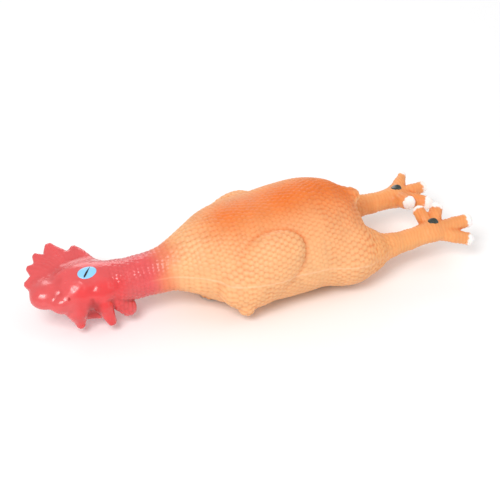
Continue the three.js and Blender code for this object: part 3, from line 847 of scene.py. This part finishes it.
# ---------------------------------------------------------------------------- relief on the skin
@dataclass
class Relief:
    """Moulded bumps, wrinkles and the parting line, as a height on the skin."""

    seam_run: tuple[tuple[float, float], ...] = (
        (-120.0, 46.0),
        (-60.0, 47.0),
        (0.0, 47.5),
        (40.0, 44.0),
        (90.0, 39.5),
        (140.0, 34.0),
    )
    bump_pitch: float = 5.3
    bump_height: float = 1.15
    uneven: float = 1.7

    def bumps(self, p: Array) -> Array:
        """Round bumps in staggered rows round the body, from 0 in the creases to 1 on the crowns."""
        drift = [value_noise(p, 11.0, 51), value_noise(p, 11.0, 52), np.zeros(len(p))]
        p = p + self.uneven * np.stack(drift, -1)
        rise = (p[:, 2] - 42.0) * 1.12
        axis = np.zeros(len(p))
        leg = smoothstep(108.0, 122.0, p[:, 0])
        for side in SIDES:
            on_side = (p[:, 1] * side.sign > 0) & (p[:, 0] > 114.0)
            axis = np.where(on_side, 35.0 * side.sign, axis)
        around_y = p[:, 1] - axis
        rise = np.where(axis != 0.0, p[:, 2] - 33.0, rise)
        reach = np.hypot(around_y, rise)
        angle = np.arctan2(rise, around_y)
        pitch = np.where(p[:, 0] < -75.0, self.bump_pitch * 0.86, self.bump_pitch)
        pitch = pitch * (1.0 - 0.12 * leg)
        row_pitch = self.bump_pitch * 0.83
        row = np.round(p[:, 0] / row_pitch)
        best = np.full(len(p), 9.0)
        girth = self.typical_girth(p[:, 0])
        for shift in (-1.0, 0.0, 1.0):
            this = row + shift
            centre_x = this * row_pitch
            count = np.maximum(np.round(self.typical_girth(centre_x) / pitch), 6.0)
            turn = angle / (2 * math.pi) * count + 0.5 * np.mod(this, 2.0)
            across = (turn - np.round(turn)) / count * 2 * math.pi * np.minimum(reach, girth / 5.5)
            best = np.minimum(best, np.hypot(p[:, 0] - centre_x, across))
        radius = self.bump_pitch * 0.53
        return np.sqrt(np.clip(1.0 - (best / radius) ** 2, 0.0, 1.0))

    @staticmethod
    def typical_girth(x: Array) -> Array:
        """The length round the body at each x, rounded to steps so that neighbouring rows stay staggered."""
        stations = [-150, -110, -76, -38, 12, 66, 102, 114, 125, 160]
        girth = np.interp(x, stations, [138, 140, 165, 300, 370, 350, 300, 150, 90, 64])
        return np.round(girth / 26.0) * 26.0

    def height(self, p: Array, normals: Array) -> tuple[Array, Array, Array]:
        """Height of the relief, depth in the creases and share of the parting line.

        Args:
            p: points on the smooth skin.
            normals: their normals.

        Returns:
            Height in millimetres, crease depth from 0 to 1, and parting line from 0 to 1.
        """
        x = p[:, 0]
        crowns = self.bumps(p)
        body = smoothstep(-150.0, -128.0, x) * (1.0 - smoothstep(132.0, 146.0, x))
        strength = body * (1.15 - 0.15 * smoothstep(-90.0, -50.0, x))
        strength *= 1.0 - 0.75 * smoothstep(2.2, 0.8, p[:, 2])
        seam_z = np.interp(x, *np.asarray(self.seam_run).T)
        seam_off = np.abs(p[:, 2] - seam_z + 0.6 * value_noise(p * [1, 0, 0], 30.0, 3))
        seam = smoothstep(1.2, 0.2, seam_off) * smoothstep(-112.0, -98.0, x) * smoothstep(128.0, 96.0, x)
        seam *= smoothstep(0.7, 0.5, np.abs(normals[:, 2]))
        flat_beside_seam = smoothstep(1.2, 4.0, seam_off)
        height = self.bump_height * strength * (crowns - 0.55) * (0.35 + 0.65 * flat_beside_seam)
        height += 0.3 * seam
        local = HEAD.local(p)
        on_head = smoothstep(-122.0, -138.0, x)
        wrinkle = value_noise(p, 3.4, 11) + 0.6 * value_noise(p, 1.9, 12)
        height += on_head * 0.14 * wrinkle
        out = np.hypot(local[:, 0] - 4.0, local[:, 1] - 9.0)
        fan = np.arctan2(local[:, 1] - 9.0, local[:, 0] - 4.0)
        on_comb = smoothstep(22.0, 28.0, local[:, 1]) * on_head
        ribs = np.cos(fan * 52.0 + 3.2 * value_noise(p, 8.0, 5))
        height += on_comb * 0.13 * ribs * smoothstep(18.0, 30.0, out)
        rings = smoothstep(128.0, 142.0, x)
        bend = 1.3 * value_noise(p, 6.0, 8)
        wave = np.cos(x * 2 * math.pi / 3.4 + 2.2 * bend)
        height += rings * (0.2 * wave + 0.2 * value_noise(p, 2.6, 9))
        crease = strength * (1.0 - crowns) ** 1.4
        crease += on_comb * 0.12 * (1.0 - ribs) + rings * (0.18 - 0.2 * wave)
        return height, np.clip(crease, 0.0, 1.0), seam


@dataclass
class Painter:
    """Colours on the skin by place, as an airbrush and a brush put them there, with painted shade in
    creases, hollows and under the head.
    """

    jagged: float = 2.4
    claw_thick: float = 0.6

    def claw_share(self, p: Array) -> Array:
        """How much white claw paint is at each point, with a ragged edge."""
        white = np.zeros(len(p))
        ragged = self.jagged * (value_noise(p, 2.1, 21) + 0.5 * value_noise(p, 0.9, 22))
        for side in SIDES:
            for toe, (_, _, radius, _, _) in enumerate(side.toes):
                gap = p - side.toe_tip(toe)
                along = gap @ side.toe_way(toe)
                off = np.linalg.norm(gap - along[:, None] * side.toe_way(toe), axis=1)
                cap = smoothstep(-side.claws[toe], 0.8 - side.claws[toe], along + 0.6 * ragged)
                white = np.maximum(white, cap * (off < radius + 3.0) * (along < 4.0))
        return white

    def colours(
        self, p: Array, normals: Array, crease: Array, seam: Array, cavity: Array
    ) -> tuple[Array, Array]:
        """Paint colour with painted shade, and added roughness.

        Args:
            p: points on the skin.
            normals: their normals.
            crease: depth in the creases between bumps, 0 to 1.
            seam: share of the parting line, 0 to 1.
            cavity: how hollow the skin is there, 0 to 1.

        Returns:
            Linear colour per point, and roughness added to the latex's own.
        """
        x = p[:, 0]
        drift = 7.0 * value_noise(p, 26.0, 31) + 3.0 * value_noise(p, 9.0, 32)
        cloud = value_noise(p, 18.0, 33)
        red = 1.0 - smoothstep(-122.0, -56.0, x + drift)
        back = np.exp(-(((p[:, 1] + 1.0) / 35.0) ** 2)) * smoothstep(0.1, 0.65, normals[:, 2])
        back *= smoothstep(-62.0, -20.0, x + drift) * (1.0 - 0.6 * smoothstep(96.0, 116.0, x))
        back *= 0.86 + 0.14 * smoothstep(-10.0, 60.0, x)
        leg = smoothstep(84.0, 132.0, x + drift)
        colour = np.tile(Paint.PEACH.light, (len(p), 1))

        def coat(layer: Paint, share: Array) -> None:
            """Lays a colour over what is there."""
            nonlocal colour
            part = np.clip(share, 0.0, 1.0)[:, None]
            colour = colour * (1.0 - part) + layer.light * part

        coat(Paint.LEG, leg)
        coat(Paint.BACK, back * (1.02 + 0.08 * cloud))
        coat(Paint.NECK, smoothstep(0.0, 0.45, red) * 0.9)
        coat(Paint.RED, smoothstep(0.3, 0.92, red))
        # Painted shade: darker orange in the creases between bumps and in hollows of the orange skin; the
        # toes also get a slightly deeper orange.
        body_crease = crease * (1.0 - smoothstep(0.2, 0.8, red))
        toes = smoothstep(168.0, 190.0, x)
        crease_shade = body_crease * (0.42 + 0.35 * back + 0.15 * leg + 0.12 * cloud)
        coat(Paint.DEEP_ORANGE, crease_shade + 0.7 * cavity * (1.0 - red) + 0.14 * toes)
        local = HEAD.local(p)
        # Painted shade: a deeper, more saturated red on the underside of the head, over the throat and
        # wattles.
        throat = smoothstep(-6.0, -16.0, local[:, 1]) * smoothstep(20.0, 8.0, local[:, 0])
        throat *= smoothstep(-42.0, -24.0, local[:, 0]) * smoothstep(0.3, 0.9, red)
        coat(Paint.SCARLET, throat * 0.6)
        # Painted shade: dark red in the crevice between the wattles, in the near mouth corner, in the red
        # creases and in hollows.
        across = np.hypot((p[:, 0] + 158.5) / 6.5, (p[:, 1] + 22.0) / 11.0)
        pocket = smoothstep(1.3, 0.4, across) * smoothstep(44.0, 34.0, p[:, 2])
        mouth_corner_shade = smoothstep(1.7, 0.9, np.hypot(local[:, 0] - 19.3, local[:, 1] + 16.4)) * (local[:, 2] > 0.0)
        pocket = np.maximum(pocket, mouth_corner_shade)
        coat(Paint.DEEP_RED, smoothstep(0.25, 0.9, red) * (0.3 * crease + 0.95 * cavity + 0.9 * pocket))
        coat(Paint.SEAM, seam * 0.35 * (1.0 - red))
        white = self.claw_share(p)
        coat(Paint.CLAW, white)
        matt = 0.12 * (1.0 - red) - 0.14 * red + 0.05 * crease
        return colour, matt


# ---------------------------------------------------------------------------- pieces that are painted on
@dataclass
class Decal:
    """A thin raised patch of paint on the skin."""

    name: str
    centre: tuple[float, float, float]
    along: Array
    across: Array
    half: tuple[float, float]
    thick: float
    taper: float = 0.0
    rings: int = 18
    sides: int = 72

    def mesh(self, sculpture: Sculpture) -> bpy.types.Mesh:
        """The patch as a closed lens that follows the skin.

        Args:
            sculpture: the skin that it lies on.

        Returns:
            The mesh.
        """
        outward = np.cross(self.along, self.across)
        share = np.linspace(0.0, 1.0, self.rings)[:, None]
        angle = np.linspace(0.0, 2 * math.pi, self.sides, endpoint=False)[None, :]
        u = share * np.cos(angle)
        v = share * np.sin(angle) * (1.0 - self.taper * share * np.cos(angle))
        flat = (
            np.asarray(self.centre)
            + (u * self.half[0])[..., None] * self.along
            + (v * self.half[1])[..., None] * self.across
        ).reshape(-1, 3)
        travel = np.full(len(flat), 26.0)
        for _ in range(40):
            travel -= np.clip(sculpture.distance(flat + travel[:, None] * outward), -1.0, 4.0) * 0.8
        ground = flat + travel[:, None] * outward
        normal = sculpture.normals(ground)
        dome = np.repeat(np.sqrt(np.clip(1.0 - share[:, 0] ** 4, 0.0, 1.0)), self.sides)
        top = ground + normal * (dome * self.thick)[:, None]
        bottom = ground - normal * 0.6
        top[: self.sides] = top[: self.sides].mean(0)
        bottom[: self.sides] = bottom[: self.sides].mean(0)
        count = self.rings * self.sides
        i, k = np.meshgrid(np.arange(self.rings - 1), np.arange(self.sides), indexing="ij")
        a = i * self.sides + k
        b = i * self.sides + (k + 1) % self.sides
        quads = np.stack([a, a + self.sides, b + self.sides, b], axis=-1).reshape(-1, 4)
        rim = (self.rings - 1) * self.sides
        j = np.arange(self.sides)
        after = (j + 1) % self.sides
        wall = np.stack([rim + j, count + rim + j, count + rim + after, rim + after], -1)
        faces = np.vstack([quads, quads[:, ::-1] + count, wall])
        return weld(build_mesh(self.name, np.vstack([top, bottom]), faces))


def weld(mesh: bpy.types.Mesh) -> bpy.types.Mesh:
    """Joins vertices at one place, such as a pole's, and drops the faces that vanish."""
    work = bmesh.new()
    work.from_mesh(mesh)
    bmesh.ops.remove_doubles(work, verts=work.verts, dist=1e-7)
    bmesh.ops.recalc_face_normals(work, faces=work.faces)
    work.to_mesh(mesh)
    work.free()
    return mesh


# ---------------------------------------------------------------------------- the skin's divisions
@dataclass(frozen=True)
class Division:
    """A stretch of the skin between two bodies."""

    name: str
    bodies: tuple[str, str]
    start: tuple[float, float, float]
    end: tuple[float, float, float]
    nodes: tuple[str, ...]
    material_slot: str
    holds: Callable[[Array], Array]


def divisions() -> list[Division]:
    """The stretches from beak to toes, each with one flex joint, cut where both sides move alike."""
    neck_cut, throat_cut, nape_cut, rump_cut = -78.0, -100.0, -120.0, 119.5
    joints = {j["name"]: np.asarray(j["pos_m"]) / MM for j in RECORD["behaviour"]["joints"] if "pos_m" in j}
    parts = [
        Division(
            "torso_latex",
            ("torso", "back_panel"),
            (22.0, 0, 63.5),
            (24.7, 0, 104.5),
            ("torso_skin", "back_panel_skin"),
            "body_latex",
            lambda c: (c[:, 0] > neck_cut) & (c[:, 0] < rump_cut),
        ),
        Division(
            "neck_base_latex",
            ("torso", "neck_base"),
            (neck_cut - 1.5, 0, 38),
            (throat_cut + 1.5, 0, 38),
            ("neck_base_skin",),
            "body_latex",
            lambda c: (c[:, 0] <= neck_cut) & (c[:, 0] > throat_cut),
        ),
        Division(
            "neck_middle_latex",
            ("neck_base", "neck_middle"),
            (throat_cut - 1.5, 0, 38),
            (nape_cut + 1.5, 0, 38),
            ("neck_middle_skin",),
            "neck_latex",
            lambda c: (c[:, 0] <= throat_cut) & (c[:, 0] > nape_cut),
        ),
        Division(
            "head_latex",
            ("neck_middle", "head"),
            (nape_cut - 1.0, 0, 38),
            (nape_cut - 19.0, 0, 38),
            ("head_skin", "beak", "comb", "wattle_left", "wattle_right", "earlobe_left", "earlobe_right"),
            "head_latex",
            lambda c: c[:, 0] <= nape_cut,
        ),
    ]
    for side in SIDES:
        hip, ankle = joints[f"{side.name}_hip"], joints[f"{side.name}_ankle"]
        shank_cut = (hip[0] + ankle[0]) / 2 + 1.0
        sign = side.sign
        parts.append(
            Division(
                f"leg_{side.name}_latex",
                ("torso", f"{side.name}_leg"),
                (rump_cut + 0.5, hip[1], hip[2]),
                (shank_cut - 2.0, hip[1], hip[2]),
                (f"leg_{side.name}_skin",),
                "leg_latex",
                lambda c, s=sign, k=shank_cut: (c[:, 0] >= rump_cut) & (c[:, 0] < k) & (c[:, 1] * s > 0),
            )
        )
        claws = tuple(f"claw_{side.name}_{i}" for i in range(1, 5))
        parts.append(
            Division(
                f"foot_{side.name}_latex",
                (f"{side.name}_leg", f"{side.name}_foot"),
                (shank_cut + 1.0, ankle[1], ankle[2]),
                (ankle[0] + 9.0, ankle[1], ankle[2]),
                (f"foot_{side.name}_skin", *claws),
                "leg_latex",
                lambda c, s=sign, k=shank_cut: (c[:, 0] >= k) & (c[:, 1] * s > 0),
            )
        )
    return parts


class LatexSkin:
    """Builds the skin once and hands out its divisions."""

    def __init__(self) -> None:
        """Shapes, displaces and paints the whole skin."""
        self.sculpture = Skin().sculpture()
        low, high = np.array([-226.0, -74.0, -2.0]), np.array([226.0, 74.0, 99.0])
        points, quads = self.sculpture.polygonise(low, high, Skin.voxel)
        points = self.sculpture.settle(points)
        normals = vertex_normals(points, quads)
        if normals[0] @ self.sculpture.normals(points[:1])[0] < 0:
            quads = quads[:, ::-1].copy()
            normals = -normals
        painter = Painter()
        height, crease, seam = Relief().height(points, normals)
        height += painter.claw_thick * painter.claw_share(points)
        rest = points[:, 2] < 1.0
        height = np.where(rest, np.minimum(height, 0.0), height)
        # How hollow the skin is; the colours darken with it as painted shade in hollows.
        cavity = self.cavity(points, quads, normals)
        moved = points + normals * height[:, None]
        moved[:, 2] = np.maximum(moved[:, 2], 0.02)
        self.points, self.quads = moved, quads
        self.normals = vertex_normals(moved, quads)
        self.colour, self.matt = painter.colours(points, normals, crease, seam, cavity)
        LOG.info("skin: %d vertices, %d quads", len(points), len(quads))

    @staticmethod
    def cavity(points: Array, quads: Array, normals: Array) -> Array:
        """How hollow the smooth skin is at each vertex, from 0 to 1, spread over its surroundings."""
        smooth = points
        for _ in range(3):
            smooth = neighbour_mean(smooth, quads)
        hollow = np.clip(((smooth - points) * normals).sum(1) / 0.28, -0.3, 1.0)
        for _ in range(4):
            hollow = neighbour_mean(hollow, quads)
        return np.clip(hollow * 1.6, 0.0, 1.0)

    def cut(self, part: Division, material: bpy.types.Material) -> bpy.types.Object:
        """One division as an object.

        Args:
            part: the division.
            material: its finish.

        Returns:
            The object.
        """
        centres = self.points[self.quads].mean(1)
        faces = self.quads[part.holds(centres)]
        used, renumbered = np.unique(faces, return_inverse=True)
        mesh = build_mesh(part.name, self.points[used], renumbered.reshape(faces.shape))
        paint = mesh.attributes.new("paint", "FLOAT_COLOR", "POINT")
        rgba = np.hstack([self.colour[used], np.ones((len(used), 1))])
        paint.data.foreach_set("color", rgba.astype(np.float32).ravel())
        matt = mesh.attributes.new("matt", "FLOAT", "POINT")
        matt.data.foreach_set("value", self.matt[used].astype(np.float32))
        mesh.normals_split_custom_set_from_vertices(self.normals[used].astype(np.float32))
        obj = new_object(part.name, mesh)
        mesh.materials.append(material)
        start, end = (tuple(v * MM for v in point) for point in (part.start, part.end))
        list(part.bodies)
        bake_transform(obj)
        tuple(start)
        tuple(end)
        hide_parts(*part.nodes)
        return obj


# ---------------------------------------------------------------------------- sub-assemblies
@dataclass
class PaintedMarks:
    """Eyes, pupils and sole pads on the skin."""

    skin: LatexSkin
    eye_at: tuple[float, float] = (-2.5, 1.0)
    eye_half: tuple[float, float] = (9.2, 6.5)
    eye_tilt_deg: float = 9.0
    slit_half: tuple[float, float] = (7.0, 0.95)
    slit_lean_deg: float = 41.0
    pad_half: tuple[float, float] = (5.4, 3.9)
    pad_turn: float = 0.3

    def build(self) -> list[bpy.types.Object]:
        """Adds the marks.

        Returns:
            The new objects.
        """
        made = []
        forward, crown, cheek = HEAD.turn
        lean = math.radians(self.slit_lean_deg)
        slit_along = math.cos(lean) * crown - math.sin(lean) * forward
        for side in SIDES:
            way = cheek * (1.0 if side is LEFT else -1.0)
            centre = HEAD.place(*self.eye_at)
            tilt = math.radians(self.eye_tilt_deg)
            eye_along = math.cos(tilt) * forward - math.sin(tilt) * crown
            across = np.cross(way, eye_along)
            eye = Decal(f"eye_{side.name}_paint", centre, eye_along, across, self.eye_half, 0.5)
            made.append(self._add(eye, EYE_BLUE, "head", f"eye_{side.name}"))
            across = np.cross(way, slit_along)
            name = f"pupil_{side.name}_paint"
            pupil = Decal(name, centre, slit_along, across, self.slit_half, 0.95, taper=0.6, sides=48)
            made.append(self._add(pupil, PUPIL_BLACK, "head", f"pupil_{side.name}"))
            up = np.array([0.0, 0.0, 1.0])
            along = np.array([math.cos(self.pad_turn), -math.sin(self.pad_turn), 0.0])
            at = tuple(np.asarray(side.palm) + [1.5, 1.5, 0.0])
            pad = Decal(f"sole_pad_{side.name}_paint", at, along, np.cross(up, along), self.pad_half, 0.9)
            made.append(self._add(pad, PAD_GREEN, f"{side.name}_foot", f"sole_pad_{side.name}"))
        return made

    def _add(self, decal: Decal, finish: Finish, body: str, node: str) -> bpy.types.Object:
        """One mark as an object that rides on a body."""
        obj = new_object(decal.name, decal.mesh(self.skin.sculpture))
        obj.data.materials.append(MATERIALS[finish.name])
        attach(obj, body)
        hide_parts(node)
        return obj


@dataclass
class Inside:
    """The filling and the squeaker."""

    rings: int = 64
    sides: int = 128
    lumps: float = 0.03
    share: tuple[float, float, float] = (0.95, 0.86, 0.86)
    lowest: float = 26.0

    def build(self, frame: dict) -> list[bpy.types.Object]:
        """Dresses the carried-over pieces inside the skin.


        Returns:
            The dressed objects.
        """
        made = []
        for node, finish in (
            ("squeaker_body", POLYTHENE),
            ("squeaker_grille", POLYTHENE),
            ("reed_block", POLYTHENE),
            ("reed", REED_METAL),
        ):
            obj = frame["nodes"][node]
            obj.data.materials.clear()
            obj.data.materials.append(MATERIALS[finish.name])
            made.append(obj)
        made.append(self._filling())
        return made

    def _filling(self) -> bpy.types.Object:
        """A lump of fibre that fills the torso."""
        low, high = (np.asarray(v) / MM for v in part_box("torso_filling"))
        centre, half = (low + high) / 2, (high - low) / 2
        theta = np.linspace(0.0, math.pi, self.rings + 1)[:, None]
        phi = np.linspace(0.0, 2 * math.pi, self.sides, endpoint=False)[None, :]
        unit = np.stack(
            [np.cos(theta) * np.ones_like(phi), np.sin(theta) * np.cos(phi), np.sin(theta) * np.sin(phi)], -1
        ).reshape(-1, 3)
        lumps = 1.0 + self.lumps * value_noise(unit * 40.0, 9.0, 41)
        points = centre + unit * lumps[:, None] * half * self.share
        n = self.sides
        points[:n] = points[:n].mean(0)
        points[-n:] = points[-n:].mean(0)
        points[:, 2] = np.maximum(points[:, 2], self.lowest)
        i, k = np.meshgrid(np.arange(self.rings), np.arange(n), indexing="ij")
        a, b = i * n + k, i * n + (k + 1) % n
        faces = np.stack([a, b, b + n, a + n], -1).reshape(-1, 4)
        obj = new_object("fibre_filling", weld(build_mesh("fibre_filling", points, faces)))
        obj.data.materials.append(MATERIALS[FIBRE.name])
        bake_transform(obj)
        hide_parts("torso_filling")
        return obj


# ---------------------------------------------------------------------------- studio
@dataclass
class Studio:
    """Floor, lights and camera."""

    azimuth: float = -22.0
    elevation: float = 36.0
    away_m: float = 1.3
    lens: float = 97.2
    target_m: tuple[float, float, float] = (0.004, 0.0, 0.040)

    def build(self) -> None:
        """Adds the floor, the sky, three soft lamps and the camera."""
        self._floor()
        self._world()
        self._lamp("key", (-0.8, -0.8, 1.3), 0.7, 16.0)
        self._lamp("fill", (1.2, -0.4, 0.9), 1.2, 4.0)
        self._lamp("rim", (0.3, 1.4, 0.8), 0.9, 5.0)
        self._camera()

    def _floor(self) -> None:
        """A wide pale sheet under the bird."""
        mesh = bpy.data.meshes.new("floor")
        half = 4.0
        corners = [(-half, -half, 0), (half, -half, 0), (half, half, 0), (-half, half, 0)]
        mesh.from_pydata(corners, [], [(0, 1, 2, 3)])
        floor = new_object("floor", mesh)
        material = bpy.data.materials.new("floor_paper")
        material.use_nodes = True
        shader = material.node_tree.nodes["Principled BSDF"]
        shader.inputs["Base Color"].default_value = (0.96, 0.96, 0.96, 1.0)
        shader.inputs["Roughness"].default_value = 0.9
        mesh.materials.append(material)

    @staticmethod
    def _world() -> None:
        """An even white sky."""
        world = bpy.data.worlds.new("studio")
        world.use_nodes = True
        world.node_tree.nodes["Background"].inputs["Color"].default_value = (1.0, 1.0, 1.0, 1.0)
        world.node_tree.nodes["Background"].inputs["Strength"].default_value = 0.6
        bpy.context.scene.world = world

    def _lamp(self, name: str, at: tuple[float, float, float], size: float, power: float) -> None:
        """A square soft lamp that faces the bird."""
        data = bpy.data.lights.new(name, "AREA")
        data.size = size
        data.energy = power
        lamp = bpy.data.objects.new(name, data)
        bpy.context.scene.collection.objects.link(lamp)
        lamp.location = at
        lamp.rotation_euler = (Vector(self.target_m) - Vector(at)).to_track_quat("-Z", "Y").to_euler()

    def _camera(self) -> None:
        """The camera, from the bird's left and above."""
        az, el = math.radians(self.azimuth), math.radians(self.elevation)
        away = Vector((math.sin(az) * math.cos(el), -math.cos(az) * math.cos(el), math.sin(el)))
        data = bpy.data.cameras.new("camera")
        data.lens = self.lens
        camera = bpy.data.objects.new("camera", data)
        bpy.context.scene.collection.objects.link(camera)
        camera.location = Vector(self.target_m) + away * self.away_m
        camera.rotation_euler = (-away).to_track_quat("-Z", "Y").to_euler()
        bpy.context.scene.camera = camera
        bpy.context.scene.view_settings.view_transform = "Standard"


MATERIALS: dict[str, bpy.types.Material] = {}
RECORD: dict = {}


def report(label: str, objects: Sequence[bpy.types.Object]) -> None:
    """Logs each piece of a sub-assembly."""
    for obj in objects:
        LOG.info("%s: %s, %d faces", label, obj.name, len(obj.data.polygons))


def main() -> None:
    """Builds the sub-assemblies in order over the frame."""
    logging.basicConfig(level=logging.INFO, format="%(message)s")
    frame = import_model()
    RECORD.update(frame["record"])
    for finish in (LATEX, EYE_BLUE, PUPIL_BLACK, PAD_GREEN, FIBRE, POLYTHENE, REED_METAL):
        MATERIALS[finish.name] = finish.build()
    skin = LatexSkin()
    report("skin", [skin.cut(part, MATERIALS[LATEX.name]) for part in divisions()])
    report("marks", PaintedMarks(skin).build())
    report("inside", Inside().build(frame))
    Studio().build()


if __name__ == "__main__":
    main()
